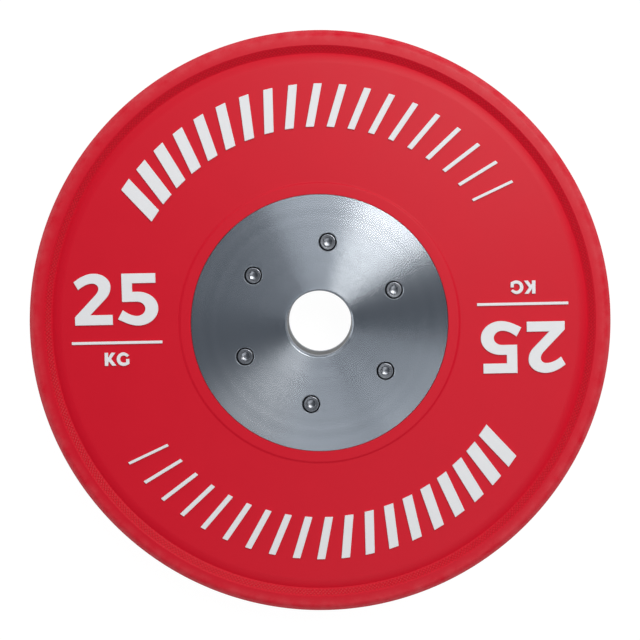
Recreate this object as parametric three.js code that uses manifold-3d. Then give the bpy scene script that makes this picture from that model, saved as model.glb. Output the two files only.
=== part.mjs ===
// Competition bumper plate: a rubber body moulded round a flanged steel core, with a turned steel
// disc bolted to each side of the core. It lies flat on its rear rim. The bore axis is Z, and the
// origin is the centre of the rear rim plane. Lengths are in millimetres, angles in degrees.

import * as THREE from "three";
import { mergeVertices } from "three/addons/utils/BufferGeometryUtils.js";
import Module from "manifold-3d";

const wasm = await Module();
wasm.setup();

// Whole plate
const plateDiameter = 450;
const rimThickness = 62;
const boreDiameter = 50.4;
const hubDiameter = 199;

// Rubber face, from the outer edge inwards; drops are measured from the rim plane. The bevelled edge
// is softened at both ends over this share of the bevel.
const edgeWidth = 4;
const edgeDrop = 3.6;
const edgeSofteningShare = 0.2;
const rimLandWidth = 8;
const gripWidth = 5.7;
const gripDrop = 4.2;
const shoulderWidth = 7;
const faceDrop = 2.5;
const collarWidth = 8;
const collarSlope = 1.6;
const collarRise = 0.8;

// Turned discs
const discDrop = 2;
const discThickness = 14;
const discEdgeChamfer = 0.6;
const boreChamfer = 1.4;
const spigotDepth = 4;

// Steel core; the flange reaches this share of the way from the hub to the outer edge
const flangeReachShare = 0.4;
const flangeThickness = 14;
const windowCount = 12;
const windowDiameter = 22;
const sleeveWall = 5;

// Socket head screws, the same on both sides
const screwCount = 6;
const screwCircleDiameter = 126.2;
const screwPhase = 24.2;
const screwDiameter = 8;
const headDiameter = 13;
const headHeight = 8;
const headChamfer = 0.8;
const headSetback = 0.6;
const socketAcrossFlats = 6;
const socketDepth = 4;
const tipChamfer = 1;
const tipSpacing = 8.8;
const counterboreChamfer = 0.4;

// Trim slugs that bring the plate to its exact weight, in pockets under the rear disc
const slugCount = 3;
const pocketDiameter = 20;
const pocketDepth = 10;
const slugChamfer = 1;

// Clearances
const fitGap = 0.3;
const seatGap = 0.2;
const headClearance = 0.5;
const shankClearance = 0.5;
const overrun = 1;

// Facets round a full turn
const plateFacets = 72;
const windowFacets = 12;
const screwFacets = 16;
const socketSides = 6;

// Points closer than this are one vertex
const mergeDistance = 1e-4;

// Worked-out places, with heights measured from the mid-plane of the plate
const plateRadius = plateDiameter / 2;
const hubRadius = hubDiameter / 2;
const boreRadius = boreDiameter / 2;
const rimHeight = rimThickness / 2;
const discTop = rimHeight - discDrop;
const coreTop = discTop - discThickness;
const flangeTop = flangeThickness / 2;
const flangeRadius = hubRadius + flangeReachShare * (plateRadius - hubRadius);
const windowCircleRadius = (hubRadius + flangeRadius) / 2;
const sleeveRadius = boreRadius + sleeveWall;
const spigotTop = coreTop + spigotDepth;
const screwCircleRadius = screwCircleDiameter / 2;
const slugCircleRadius = (sleeveRadius + hubRadius) / 2;
const headTop = discTop - headSetback;
const headSeat = headTop - headHeight;
const counterboreRadius = headDiameter / 2 + headClearance;
const pocketFloor = coreTop - pocketDepth;

// Materials
const redRubber = { color: 0xc5202e, roughness: 0.5, metalness: 0 };
const turnedSteel = { color: 0xa4a8ac, roughness: 0.3, metalness: 1 };
const platedSteel = { color: 0xb9bcc0, roughness: 0.25, metalness: 1 };
const blackSteel = { color: 0x4c4e51, roughness: 0.7, metalness: 0.8 };
const boredSteel = { color: 0x8d9195, roughness: 0.35, metalness: 1 };

// A ring or a turned piece about Z. The outline lists radius and height pairs, anticlockwise when
// the radius runs to the right, and is closed here.
function turned(outline, facets) {
  const points = outline.map(([radius, height]) => new THREE.Vector2(radius, height));
  points.push(points[0].clone());
  return new THREE.LatheGeometry(points, facets).rotateX(Math.PI / 2);
}

// A round bar along Z, or a cone when the two radii differ
function bar(lowRadius, highRadius, low, high, facets) {
  const shape = new THREE.CylinderGeometry(highRadius, lowRadius, high - low, facets);
  return shape.rotateX(Math.PI / 2).translate(0, 0, (low + high) / 2);
}

// The place of one copy of a round pattern
function onCircle(radius, index, count, phase) {
  const angle = THREE.MathUtils.degToRad(phase + (360 * index) / count);
  return new THREE.Vector3(radius * Math.cos(angle), radius * Math.sin(angle), 0);
}

// One copy of a shape at each place of a round pattern
function pattern(shape, radius, count, phase) {
  return Array.from({ length: count }, (_, index) => {
    const place = onCircle(radius, index, count, phase);
    return shape.clone().translate(place.x, place.y, place.z);
  });
}

function toSolid(geometry) {
  const bare = geometry.clone();
  bare.deleteAttribute("normal");
  bare.deleteAttribute("uv");
  const merged = mergeVertices(bare, mergeDistance);
  return new wasm.Manifold(
    new wasm.Mesh({
      numProp: 3,
      vertProperties: merged.attributes.position.array,
      triVerts: new Uint32Array(merged.index.array),
    }),
  );
}

function toGeometry(solid) {
  const mesh = solid.getMesh();
  const geometry = new THREE.BufferGeometry();
  geometry.setAttribute("position", new THREE.BufferAttribute(mesh.vertProperties, 3));
  geometry.setIndex(new THREE.BufferAttribute(mesh.triVerts, 1));
  geometry.computeVertexNormals();
  return geometry;
}

const cutAll = (solid, tools) => tools.reduce((rest, tool) => rest.subtract(toSolid(tool)), solid);
const joinAll = (solid, tools) => tools.reduce((sum, tool) => sum.add(toSolid(tool)), solid);

// The moulded face from the outer wall to the hub, with the bevelled edge, the rim land, the sloped
// grip band that ends in a groove, the shoulder, the flat face and the collar round the hub
function faceOutline() {
  const landInner = plateRadius - edgeWidth - rimLandWidth;
  const grooveRadius = landInner - gripWidth;
  const faceOuter = grooveRadius - shoulderWidth;
  const faceHeight = rimHeight - faceDrop;
  const collarTopRadius = hubRadius + collarWidth;
  const softWidth = edgeSofteningShare * edgeWidth;
  const softDrop = edgeSofteningShare * edgeDrop;
  return [
    [plateRadius, rimHeight - edgeDrop - softDrop],
    [plateRadius - softWidth, rimHeight - edgeDrop + softDrop],
    [plateRadius - edgeWidth + softWidth, rimHeight - softDrop],
    [plateRadius - edgeWidth - softWidth, rimHeight],
    [landInner, rimHeight],
    [grooveRadius, rimHeight - gripDrop],
    [faceOuter, faceHeight],
    [collarTopRadius + collarSlope, faceHeight],
    [collarTopRadius, faceHeight + collarRise],
    [hubRadius + fitGap, faceHeight + collarRise],
  ];
}

// Both faces are alike. The rubber closes round the flange, and pegs of rubber fill its windows
// and tie the two halves together.
function rubberBody() {
  const face = faceOutline();
  const rear = face.map(([radius, height]) => [radius, -height]).reverse();
  const innerWall = hubRadius + fitGap;
  const pocketWall = flangeRadius + fitGap;
  const pocketTop = flangeTop + fitGap;
  const outline = [
    ...face,
    [innerWall, pocketTop],
    [pocketWall, pocketTop],
    [pocketWall, -pocketTop],
    [innerWall, -pocketTop],
    ...rear,
  ];
  const pegRadius = windowDiameter / 2 - fitGap;
  const pegEnd = pocketTop + overrun;
  const peg = bar(pegRadius, pegRadius, -pegEnd, pegEnd, windowFacets);
  const pegs = pattern(peg, windowCircleRadius, windowCount, 0);
  return toGeometry(joinAll(toSolid(turned(outline, plateFacets)), pegs));
}

// A thick steel ring with a flange at mid-height. The flange has windows for the rubber, the ring
// has a tapped hole for each pair of screws and pockets for the trim slugs in its rear face.
function steelCore() {
  const outline = [
    [hubRadius, -coreTop],
    [hubRadius, -flangeTop],
    [flangeRadius, -flangeTop],
    [flangeRadius, flangeTop],
    [hubRadius, flangeTop],
    [hubRadius, coreTop],
    [sleeveRadius + fitGap, coreTop],
    [sleeveRadius + fitGap, -coreTop],
  ];
  const windowEnd = flangeTop + overrun;
  const holeEnd = coreTop + overrun;
  const windowRadius = windowDiameter / 2;
  const holeRadius = screwDiameter / 2 + fitGap;
  const pocketRadius = pocketDiameter / 2;
  const opening = bar(windowRadius, windowRadius, -windowEnd, windowEnd, windowFacets);
  const hole = bar(holeRadius, holeRadius, -holeEnd, holeEnd, screwFacets);
  const pocket = bar(pocketRadius, pocketRadius, -holeEnd, -pocketFloor, screwFacets);
  return toGeometry(
    cutAll(toSolid(turned(outline, plateFacets)), [
      ...pattern(opening, windowCircleRadius, windowCount, 0),
      ...pattern(hole, screwCircleRadius, screwCount, screwPhase),
      ...pattern(pocket, slugCircleRadius, slugCount, slugPhase()),
    ]),
  );
}

// A cover disc, seen from its own outer side. Its underside has a recess that centres it on the
// sleeve, and each screw hole has a chamfered counterbore that hides the head.
function hubDisc() {
  const seat = coreTop + seatGap;
  const recessRadius = sleeveRadius + fitGap;
  const outline = [
    [hubRadius, seat],
    [hubRadius, discTop - discEdgeChamfer],
    [hubRadius - discEdgeChamfer, discTop],
    [boreRadius + boreChamfer, discTop],
    [boreRadius, discTop - boreChamfer],
    [boreRadius, spigotTop],
    [recessRadius, spigotTop],
    [recessRadius, seat],
  ];
  const shankRadius = screwDiameter / 2 + shankClearance;
  const mouthLow = discTop - counterboreChamfer;
  const mouthTop = discTop + counterboreChamfer;
  const mouthRadius = counterboreRadius + (mouthTop - mouthLow);
  const shankHole = bar(shankRadius, shankRadius, coreTop - overrun, discTop, screwFacets);
  const counterbore = bar(
    counterboreRadius,
    counterboreRadius,
    headSeat - seatGap,
    discTop + overrun,
    screwFacets,
  );
  const mouth = bar(counterboreRadius, mouthRadius, mouthLow, mouthTop, screwFacets);
  const cuts = [shankHole, counterbore, mouth].flatMap((tool) =>
    pattern(tool, screwCircleRadius, screwCount, screwPhase),
  );
  return toGeometry(cutAll(toSolid(turned(outline, plateFacets)), cuts));
}

// The sleeve lines the bore through the core and reaches into both discs
function centreSleeve() {
  const end = spigotTop - seatGap;
  return turned(
    [
      [sleeveRadius, -end],
      [sleeveRadius, end],
      [boreRadius, end],
      [boreRadius, -end],
    ],
    plateFacets,
  );
}

// A screw that points down, at its height above the mid-plane, with a hexagon socket in its head
function capScrew() {
  const shankRadius = screwDiameter / 2;
  const tip = tipSpacing / 2;
  const outline = [
    [0, tip],
    [shankRadius - tipChamfer, tip],
    [shankRadius, tip + tipChamfer],
    [shankRadius, headSeat],
    [headDiameter / 2, headSeat],
    [headDiameter / 2, headTop - headChamfer],
    [headDiameter / 2 - headChamfer, headTop],
    [0, headTop],
  ];
  const socketRadius = socketAcrossFlats / Math.sqrt(3);
  const socket = bar(socketRadius, socketRadius, headTop - socketDepth, headTop + overrun, socketSides);
  return toGeometry(cutAll(toSolid(turned(outline, screwFacets)), [socket]));
}

// A short steel bar with broken edges that fills its pocket
function trimSlug() {
  const radius = pocketDiameter / 2 - fitGap;
  const low = -coreTop;
  const high = -pocketFloor - seatGap;
  return turned(
    [
      [0, low],
      [radius - slugChamfer, low],
      [radius, low + slugChamfer],
      [radius, high - slugChamfer],
      [radius - slugChamfer, high],
      [0, high],
    ],
    screwFacets,
  );
}

// Slugs lie midway between screws
function slugPhase() {
  return screwPhase + 180 / screwCount;
}

function piece(name, geometry, look) {
  const mesh = new THREE.Mesh(geometry, new THREE.MeshStandardMaterial(look));
  mesh.name = name;
  return mesh;
}

// One side's disc and screws. The rear side is the front side turned over about the X axis, with
// its pattern turned back so that both sides share the core's holes.
function hubSide(side, isRear) {
  const group = new THREE.Group();
  const phase = isRear ? -screwPhase : screwPhase;
  const disc = piece(`${side}_disc`, hubDisc(), turnedSteel);
  disc.rotation.z = THREE.MathUtils.degToRad(phase - screwPhase);
  group.add(disc);
  const screw = capScrew();
  for (let index = 0; index < screwCount; index += 1) {
    const copy = piece(`${side}_screw_${index + 1}`, screw, platedSteel);
    copy.position.copy(onCircle(screwCircleRadius, index, screwCount, phase));
    group.add(copy);
  }
  group.rotation.x = isRear ? Math.PI : 0;
  return group;
}

const plate = new THREE.Group();
plate.add(piece("rubber_body", rubberBody(), redRubber));
plate.add(piece("steel_core", steelCore(), blackSteel));
plate.add(piece("centre_sleeve", centreSleeve(), boredSteel));
plate.add(hubSide("front", false));
plate.add(hubSide("rear", true));
const slug = trimSlug();
for (let index = 0; index < slugCount; index += 1) {
  const copy = piece(`trim_slug_${index + 1}`, slug, blackSteel);
  copy.position.copy(onCircle(slugCircleRadius, index, slugCount, slugPhase()));
  plate.add(copy);
}
plate.position.z = rimHeight;

const group = new THREE.Group();
group.add(plate);

export default group;
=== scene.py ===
"""Looks of a rubber bumper plate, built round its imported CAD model.

The plate lies flat on a white studio floor and is seen from above. A moulded red rubber body with
a diamond grip band, raised white markings, two lathe-turned hub discs, a bored sleeve and twelve
socket head screws stand for the plain CAD solids. All lengths are in metres unless a name says
otherwise.
"""

import logging
import math
from collections.abc import Callable, Iterator, Sequence
from contextlib import contextmanager
from dataclasses import dataclass
from enum import Enum

import bmesh
import bpy
from mathutils import Matrix, Vector


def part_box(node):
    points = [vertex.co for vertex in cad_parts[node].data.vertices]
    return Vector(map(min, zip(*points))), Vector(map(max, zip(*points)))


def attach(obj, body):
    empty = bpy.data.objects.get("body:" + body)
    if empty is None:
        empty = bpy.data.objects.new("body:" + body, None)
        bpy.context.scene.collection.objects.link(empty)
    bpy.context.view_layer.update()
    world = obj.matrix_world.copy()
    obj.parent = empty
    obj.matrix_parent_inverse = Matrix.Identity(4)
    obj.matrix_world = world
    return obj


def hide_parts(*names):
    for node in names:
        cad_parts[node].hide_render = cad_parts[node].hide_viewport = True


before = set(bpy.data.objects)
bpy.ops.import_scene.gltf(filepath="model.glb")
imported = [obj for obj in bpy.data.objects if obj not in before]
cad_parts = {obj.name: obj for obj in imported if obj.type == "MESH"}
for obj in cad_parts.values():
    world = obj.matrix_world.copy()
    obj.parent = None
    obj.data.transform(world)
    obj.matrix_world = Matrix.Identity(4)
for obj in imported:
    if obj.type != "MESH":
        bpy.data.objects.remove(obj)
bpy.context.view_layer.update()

MM = 0.001
BODY = "root"
# Points closer than this are one point
MERGE_DISTANCE = 1e-6
# A point this near to a place is the point meant
MATCH_DISTANCE = 0.02 * MM
# The float attribute that is 1 where shade is painted into the colour, in hollows, holes and
# creases
PAINTED_SHADE_MASK = "painted_shade"
# Share of a full turn that lays the gloss across the tool marks
QUARTER_TURN = 0.25

log = logging.getLogger("bumper_plate")

Colour = tuple[float, float, float]
Socket = bpy.types.NodeSocket
Inputs = dict[str | int, object]


class Side(Enum):
    """The two faces of the plate."""

    FRONT = "front"
    REAR = "rear"


class RingAxis(Enum):
    """The direction across which turning marks repeat."""

    RADIUS = "radius"
    HEIGHT = "height"


# Places read from the frame
_low, _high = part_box("rubber_body")
PLATE_RADIUS = _high.x
PLATE_HEIGHT = _high.z
MID_HEIGHT = (_low.z + _high.z) / 2
DISC_LOW, DISC_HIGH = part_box("front_disc")
HUB_RADIUS = DISC_HIGH.x
SLEEVE_LOW, SLEEVE_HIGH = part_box("centre_sleeve")
FIT_GAP = 0.3 * MM


def linear(colour: Colour) -> tuple[float, float, float, float]:
    """Turns a colour as seen on screen into the linear values that shaders take."""
    values = [c / 12.92 if c <= 0.04045 else ((c + 0.055) / 1.055) ** 2.4 for c in colour]
    return (values[0], values[1], values[2], 1.0)


def node_names(start: str) -> list[str]:
    """Lists the CAD nodes whose names begin with a word, in order."""
    return [name for name in sorted(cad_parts) if name.startswith(start)]


def turned_over() -> Matrix:
    """Gives the half turn about the X axis that takes the front face to the rear."""
    lift = Matrix.Translation((0, 0, MID_HEIGHT))
    return lift @ Matrix.Rotation(math.pi, 4, "X") @ lift.inverted()


def deselect_everything() -> None:
    """Deselects every object, because an operator acts on all that is selected."""
    bpy.ops.object.select_all(action="DESELECT")


def pick(*pieces: bpy.types.Object) -> None:
    """Selects only these pieces, the first one active.

    Args:
        pieces: The pieces that the next operators act on.
    """
    deselect_everything()
    for piece in pieces:
        piece.select_set(True)
    bpy.context.view_layer.objects.active = pieces[0]


@contextmanager
def editing(piece: bpy.types.Object) -> Iterator[None]:
    """Holds one piece in edit mode with nothing in it selected.

    Args:
        piece: The piece to edit.

    Returns:
        The context of the edit, which ends back in object mode.
    """
    pick(piece)
    bpy.ops.object.mode_set(mode="EDIT")
    bpy.ops.mesh.select_mode(type="VERT")
    bpy.ops.mesh.select_all(action="DESELECT")
    yield
    bpy.ops.object.mode_set(mode="OBJECT")


def select_points(test: Callable[[Vector], bool]) -> None:
    """Selects the vertices of the piece in edit mode that pass a test of their place.

    Args:
        test: Says whether the vertex at a place is wanted.
    """
    mesh = bpy.context.object.data
    shape = bmesh.from_edit_mesh(mesh)
    for vertex in shape.verts:
        vertex.select_set(test(vertex.co))
    shape.select_flush_mode()
    bmesh.update_edit_mesh(mesh)


def select_faces(test: Callable[[bmesh.types.BMFace], bool]) -> None:
    """Selects the faces of the piece in edit mode that pass a test.

    Args:
        test: Says whether a face is wanted.
    """
    bpy.ops.mesh.select_mode(type="FACE")
    mesh = bpy.context.object.data
    shape = bmesh.from_edit_mesh(mesh)
    for face in shape.faces:
        face.select_set(test(face))
    bmesh.update_edit_mesh(mesh)


def apply_modifier(piece: bpy.types.Object, kind: str, **settings: object) -> None:
    """Adds a modifier to a piece and applies it at once.

    Args:
        piece: The piece to change.
        kind: The modifier's type.
        settings: The modifier's own settings by name.
    """
    pick(piece)
    bpy.ops.object.modifier_add(type=kind)
    modifier = piece.modifiers[-1]
    for name, value in settings.items():
        setattr(modifier, name, value)
    bpy.ops.object.modifier_apply(modifier=modifier.name)


def cut_away(piece: bpy.types.Object, cutter: bpy.types.Object) -> None:
    """Takes a cutter's solid out of a piece and removes the cutter."""
    apply_modifier(piece, "BOOLEAN", operation="DIFFERENCE", object=cutter, solver="MANIFOLD")
    bpy.data.objects.remove(cutter)


def tidy_mesh(piece: bpy.types.Object, smooth_angle: float = 30.0) -> None:
    """Merges doubled points, turns all faces outwards and shades flats flat and rounds round.

    Args:
        piece: The piece to finish.
        smooth_angle: Edges that turn by less than this many degrees look smooth.
    """
    with editing(piece):
        bpy.ops.mesh.select_all(action="SELECT")
        bpy.ops.mesh.remove_doubles(threshold=MERGE_DISTANCE)
        bpy.ops.mesh.normals_make_consistent(inside=False)
    pick(piece)
    bpy.ops.mesh.customdata_custom_splitnormals_clear()
    bpy.ops.object.shade_smooth_by_angle(angle=math.radians(smooth_angle))
    apply_modifier(piece, "WEIGHTED_NORMAL", keep_sharp=True)


def paint_shade_on_faces(piece: bpy.types.Object, test: Callable[[bpy.types.MeshPolygon], bool]) -> None:
    """Stores the mask of painted shade by face, for the piece's material to read.

    Args:
        piece: The piece to mark.
        test: Says whether shade is painted on a face.
    """
    mesh = piece.data
    mask = mesh.attributes.new(PAINTED_SHADE_MASK, "FLOAT", "CORNER")
    for polygon in mesh.polygons:
        share = float(test(polygon))
        for corner in polygon.loop_indices:
            mask.data[corner].value = share


def paint_shade_at_points(piece: bpy.types.Object, test: Callable[[Vector], bool]) -> None:
    """Stores the mask of painted shade by point, so that it fades between points.

    Args:
        piece: The piece to mark.
        test: Says whether shade is painted at a place.
    """
    mask = piece.data.attributes.new(PAINTED_SHADE_MASK, "FLOAT", "POINT")
    for vertex in piece.data.vertices:
        mask.data[vertex.index].value = float(test(vertex.co))


def set_in_place(piece: bpy.types.Object) -> None:
    """Moves a piece's place, turn and scale into its mesh."""
    pick(piece)
    bpy.ops.object.transform_apply(location=True, rotation=True, scale=True)


def copied(piece: bpy.types.Object, name: str, place: Matrix) -> bpy.types.Object:
    """Copies a piece with a mesh of its own.

    Args:
        piece: The modelled piece.
        name: The copy's name.
        place: Where the copy goes, from where the piece is.

    Returns:
        The copy, with its place in its mesh.
    """
    pick(piece)
    bpy.ops.object.duplicate()
    copy = bpy.context.object
    copy.name = name
    copy.data.name = name
    copy.matrix_world = place
    set_in_place(copy)
    return copy


def joined(name: str, pieces: Sequence[bpy.types.Object]) -> bpy.types.Object:
    """Joins pieces into one.

    Args:
        name: The name of the result.
        pieces: The pieces to join; the first one becomes the result.

    Returns:
        The joined piece.
    """
    pick(*pieces)
    bpy.ops.object.join()
    pieces[0].name = name
    pieces[0].data.name = name
    return pieces[0]


def finish_piece(
    piece: bpy.types.Object, material: bpy.types.Material, slot: str, nodes: Sequence[str] = ()
) -> None:
    """Dresses a piece, lets it ride on the plate and reports it.

    Args:
        piece: The finished piece.
        material: Its material.
        slot: The record's material slot that it takes its finish from.
        nodes: The CAD nodes that it stands for.
    """
    piece.data.materials.clear()
    piece.data.materials.append(material)
    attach(piece, BODY)
    if nodes:
        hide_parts(*nodes)
    triangles = sum(len(polygon.vertices) - 2 for polygon in piece.data.polygons)
    log.info("%s: %d triangles, %s", piece.name, triangles, slot)


@dataclass(frozen=True)
class Corner:
    """One corner of a turned outline.

    A rounding is the length of each edge that the round takes away.
    """

    radius: float
    height: float
    rounding: float = 0.0
    segments: int = 2


def turned_piece(name: str, corners: Sequence[Corner], steps: int) -> bpy.types.Object:
    """Draws a closed outline point by point, rounds its corners and turns it about the Z axis.

    Args:
        name: The piece's name.
        corners: The outline's corners in order, in the half plane of radius and height.
        steps: Steps in a full turn.

    Returns:
        The turned piece.
    """
    bpy.ops.mesh.primitive_plane_add(size=MM)
    piece = bpy.context.object
    piece.name = name
    piece.data.name = name
    points = [Vector((corner.radius, 0, corner.height)) for corner in corners]
    with editing(piece):
        bpy.ops.mesh.select_all(action="SELECT")
        bpy.ops.mesh.merge(type="CENTER")
        bpy.ops.transform.translate(value=points[0])
        for here, there in zip(points, points[1:]):
            bpy.ops.mesh.extrude_vertices_move(TRANSFORM_OT_translate={"value": there - here})
        ends = (points[0], points[-1])
        select_points(lambda place: any((place - end).length < MATCH_DISTANCE for end in ends))
        bpy.ops.mesh.edge_face_add()
        for corner, point in zip(corners, points):
            if corner.rounding:
                select_points(lambda place: (place - point).length < MATCH_DISTANCE)
                bpy.ops.mesh.bevel(
                    affect="VERTICES",
                    offset=corner.rounding,
                    segments=corner.segments,
                    clamp_overlap=False,
                )
    apply_modifier(
        piece, "SCREW", steps=steps, render_steps=steps, use_merge_vertices=True,
        merge_threshold=MERGE_DISTANCE,
    )
    tidy_mesh(piece)
    return piece


class Graph:
    """A node tree with short calls for adding nodes and joining their sockets."""

    def __init__(self, tree: bpy.types.NodeTree) -> None:
        """Takes the node tree of a material, a world or a group."""
        self.tree = tree

    def fill(self, node: bpy.types.Node, inputs: Inputs) -> None:
        """Fills some of a node's inputs.

        Args:
            node: The node.
            inputs: A value or a socket for each input, by name or number.
        """
        for name, value in inputs.items():
            if isinstance(value, Socket):
                self.tree.links.new(value, node.inputs[name])
            else:
                node.inputs[name].default_value = value

    def add(self, kind: str, inputs: Inputs | None = None, **settings: object) -> bpy.types.Node:
        """Adds a node, sets it and fills its inputs.

        Args:
            kind: The node's type, without its ShaderNode prefix.
            inputs: A value or a socket for each input, by name or number.
            settings: The node's own properties by name.

        Returns:
            The new node.
        """
        node = self.tree.nodes.new("ShaderNode" + kind)
        for name, value in settings.items():
            setattr(node, name, value)
        self.fill(node, inputs or {})
        return node

    def use(self, tree: bpy.types.NodeTree, inputs: Inputs) -> dict[str, Socket]:
        """Adds a shared group with its inputs, and gives its outputs by name."""
        return dict(self.add("Group", inputs, node_tree=tree).outputs.items())

    def calculate(self, operation: str, *values: object) -> Socket:
        """Adds a math node on numbers or sockets and gives its result."""
        return self.add("Math", dict(enumerate(values)), operation=operation).outputs[0]

    def blend(self, share: object, first: object, second: object) -> Socket:
        """Mixes two colours; the share of the second is a number or a socket."""
        return self.add("Mix", {0: share, 6: first, 7: second}, data_type="RGBA").outputs[2]

    def spread(
        self, value: Socket, low: float, high: float, start: float = 0.0, end: float = 1.0
    ) -> Socket:
        """Maps the range from start to end onto low to high, and holds the ends beyond it."""
        inputs = {"Value": value, "To Min": low, "To Max": high, "From Min": start, "From Max": end}
        return self.add("MapRange", inputs).outputs["Result"]

    def noise(self, place: Socket, size: object, detail: float, **more: float) -> Socket:
        """Adds a cloudy noise.

        Args:
            place: The place to read it at.
            size: The size of its patches, a number or a socket.
            detail: How many finer noises lie on top.
            more: Other inputs of the noise by name.

        Returns:
            The socket of its value, about 0 to 1.
        """
        scale = self.calculate("DIVIDE", 1.0, size)
        inputs = {"Vector": place, "Scale": scale, "Detail": detail, **more}
        return self.add("TexNoise", inputs).outputs[0]

    def radius(self, place: Socket) -> Socket:
        """Works out the distance of a place from the Z axis.

        Args:
            place: The place's socket.

        Returns:
            The distance's socket.
        """
        parts = self.add("SeparateXYZ", {"Vector": place}).outputs
        flat = self.add("CombineXYZ", {"X": parts["X"], "Y": parts["Y"]}).outputs[0]
        return self.add("VectorMath", {0: flat}, operation="LENGTH").outputs["Value"]

    def worn_gloss(self, pattern: Socket, smears: Socket, roughness: float, swing: float) -> Socket:
        """Gives a roughness that follows a pattern and is higher under smears."""
        plain = self.spread(pattern, roughness - swing, roughness + swing)
        return self.calculate("ADD", plain, self.calculate("MULTIPLY", smears, swing))

    def bumps(self, height: Socket, depth: float) -> Socket:
        """Turns a height from 0 to 1 into a surface normal."""
        return self.add("Bump", {"Height": height, "Distance": depth}).outputs["Normal"]


def new_group(
    name: str, inputs: Sequence[str], outputs: Sequence[str]
) -> tuple[Graph, dict[str, Socket], bpy.types.Node]:
    """Makes an empty node group with its sockets.

    Args:
        name: The group's name.
        inputs: The names of its inputs; Vector is a vector and the others are numbers.
        outputs: The names of its outputs, all numbers.

    Returns:
        The group's graph, its inputs by name and the node that takes its outputs.
    """
    tree = bpy.data.node_groups.new(name, "ShaderNodeTree")
    for direction, sockets in (("INPUT", inputs), ("OUTPUT", outputs)):
        for socket in sockets:
            kind = "NodeSocketVector" if socket == "Vector" else "NodeSocketFloat"
            tree.interface.new_socket(socket, in_out=direction, socket_type=kind)
    source = tree.nodes.new("NodeGroupInput")
    return Graph(tree), dict(source.outputs.items()), tree.nodes.new("NodeGroupOutput")


def moulded_grain_group() -> bpy.types.NodeTree:
    """Makes the group for moulded rubber: a fine grain, a soft mottle and sparse dust specks.

    Returns:
        The group's tree.
    """
    specks_per_grain = 0.35
    speck_core, speck_edge = 0.05, 0.12
    clean_share = 0.82
    graph, source, result = new_group(
        "moulded_grain", ("Vector", "Grain Size", "Mottle Size"), ("Grain", "Mottle", "Specks")
    )
    place = source["Vector"]
    scale = graph.calculate("DIVIDE", specks_per_grain, source["Grain Size"])
    cells = graph.add("TexVoronoi", {"Vector": place, "Scale": scale}).outputs
    speck = graph.spread(cells["Distance"], 1.0, 0.0, speck_core, speck_edge)
    chosen = graph.calculate("GREATER_THAN", cells["Color"], clean_share)
    graph.fill(
        result,
        {
            "Grain": graph.noise(place, source["Grain Size"], 3.0),
            "Mottle": graph.noise(place, source["Mottle Size"], 4.0),
            "Specks": graph.calculate("MULTIPLY", speck, chosen),
        },
    )
    return graph.tree


def turning_marks_group() -> bpy.types.NodeTree:
    """Makes the group for cut metal: fine tool marks and broader bands along one distance.

    Returns:
        The group's tree.
    """
    graph, source, result = new_group(
        "turning_marks", ("Distance", "Pitch", "Band Width"), ("Marks", "Bands")
    )
    for width, output, detail in (("Pitch", "Marks", 2.0), ("Band Width", "Bands", 5.0)):
        along = graph.calculate("DIVIDE", source["Distance"], source[width])
        inputs = {"W": along, "Scale": 1.0, "Detail": detail}
        noise = graph.add("TexNoise", inputs, noise_dimensions="1D")
        graph.fill(result, {output: noise.outputs[0]})
    return graph.tree


def handling_group() -> bpy.types.NodeTree:
    """Makes the group for use: soft cloudy smears, as a mask from 0 to 1.

    Returns:
        The group's tree.
    """
    clean, smeared = 0.5, 0.75
    graph, source, result = new_group("handling", ("Vector", "Size"), ("Smears",))
    cloud = graph.noise(source["Vector"], source["Size"], 6.0, Distortion=0.6)
    graph.fill(result, {"Smears": graph.spread(cloud, 0.0, 1.0, clean, smeared)})
    return graph.tree


def rim_wear_group() -> bpy.types.NodeTree:
    """Makes the group for a rolled rim: patchy rubbing outside a radius, as a mask from 0 to 1.

    Returns:
        The group's tree.
    """
    whole, rubbed = 0.32, 0.68
    graph, source, result = new_group(
        "rim_wear", ("Vector", "Inner Radius", "Fade", "Patch Size"), ("Wear",)
    )
    place = source["Vector"]
    beyond = graph.calculate("SUBTRACT", graph.radius(place), source["Inner Radius"])
    ramp = graph.calculate("DIVIDE", beyond, source["Fade"])
    outside = graph.add("Clamp", {"Value": ramp}).outputs[0]
    cloud = graph.noise(place, source["Patch Size"], 5.0, Roughness=0.65)
    patches = graph.spread(cloud, 0.0, 1.0, whole, rubbed)
    graph.fill(result, {"Wear": graph.calculate("MULTIPLY", outside, patches)})
    return graph.tree


@dataclass(frozen=True)
class SharedEffects:
    """The node groups that several finishes use."""

    moulded_grain: bpy.types.NodeTree
    turning_marks: bpy.types.NodeTree
    handling: bpy.types.NodeTree
    rim_wear: bpy.types.NodeTree

    @classmethod
    def build(cls) -> "SharedEffects":
        """Builds each group once."""
        return cls(moulded_grain_group(), turning_marks_group(), handling_group(), rim_wear_group())


def blank_material(name: str) -> tuple[bpy.types.Material, Graph, bpy.types.Node, Socket]:
    """Makes a material with only a Principled shader and the object's coordinates.

    Args:
        name: The material's name.

    Returns:
        The material, its graph, its shader node and the coordinates' socket.
    """
    material = bpy.data.materials.new(name)
    material.use_nodes = True
    graph = Graph(material.node_tree)
    place = graph.add("TexCoord").outputs["Object"]
    return material, graph, graph.tree.nodes["Principled BSDF"], place


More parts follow.
